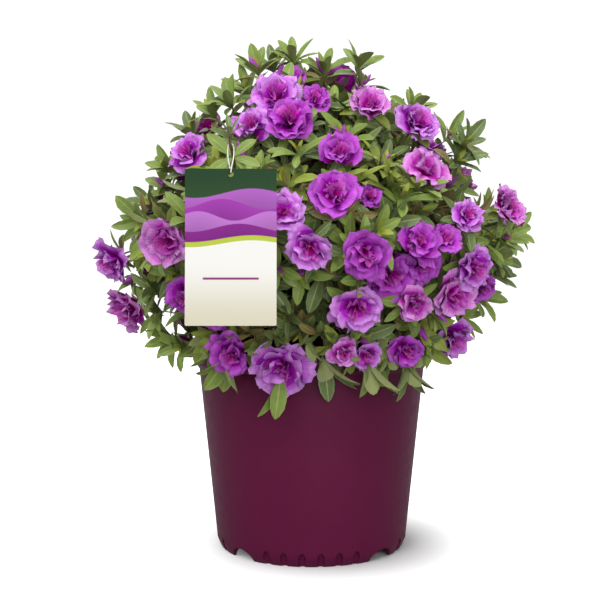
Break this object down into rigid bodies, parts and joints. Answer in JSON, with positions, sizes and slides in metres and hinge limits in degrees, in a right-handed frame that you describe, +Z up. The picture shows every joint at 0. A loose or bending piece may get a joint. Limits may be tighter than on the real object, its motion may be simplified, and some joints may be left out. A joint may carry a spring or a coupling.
{
  "type": "potted azalea shrub",
  "caption": "Rounded azalea shrub in full double bloom, growing from one short trunk in a tapered plastic nursery pot, with a plain hang tag on a twig.",
  "frame": {"origin": "centre of the pot's underside, on the ground", "axes": "+Z up along the pot's axis; -Y towards the front, where the hang tag is; +X to the right as seen from the front"},
  "size_m": [0.5398, 0.5358, 0.6067],
  "materials": {
    "pot": "satin burgundy plastic",
    "potting_mix": "damp milled bark and peat",
    "bark": "rough brown bark",
    "foliage": "soft green leaves with violet blooms",
    "tag": "smooth printed plastic card",
    "tag_tie": "white plastic strand"
  },
  "bodies": {
    "root": {"pot": "pot", "potting_mix": "potting_mix", "trunk": "bark", "bough_top": "bark", "foliage_top": "foliage", "bough_upper_1": "bark", "foliage_upper_1": "foliage", "bough_upper_2": "bark", "foliage_upper_2": "foliage", "bough_upper_3": "bark", "foliage_upper_3": "foliage", "bough_upper_4": "bark", "foliage_upper_4": "foliage", "bough_upper_5": "bark", "foliage_upper_5": "foliage", "bough_middle_1": "bark", "foliage_middle_1": "foliage", "bough_middle_2": "bark", "foliage_middle_2": "foliage", "bough_middle_3": "bark", "foliage_middle_3": "foliage", "bough_middle_4": "bark", "foliage_middle_4": "foliage", "bough_middle_5": "bark", "foliage_middle_5": "foliage", "bough_middle_6": "bark", "foliage_middle_6": "foliage", "bough_middle_7": "bark", "foliage_middle_7": "foliage", "bough_low_1": "bark", "foliage_low_1": "foliage", "bough_low_2": "bark", "foliage_low_2": "foliage", "bough_low_3": "bark", "foliage_low_3": "foliage", "bough_low_4": "bark", "foliage_low_4": "foliage", "bough_low_5": "bark", "foliage_low_5": "foliage", "bough_low_6": "bark", "foliage_low_6": "foliage", "bough_low_7": "bark", "foliage_low_7": "foliage", "tag": "tag", "tag_tie": "tag_tie"}
  },
  "joints": []
}
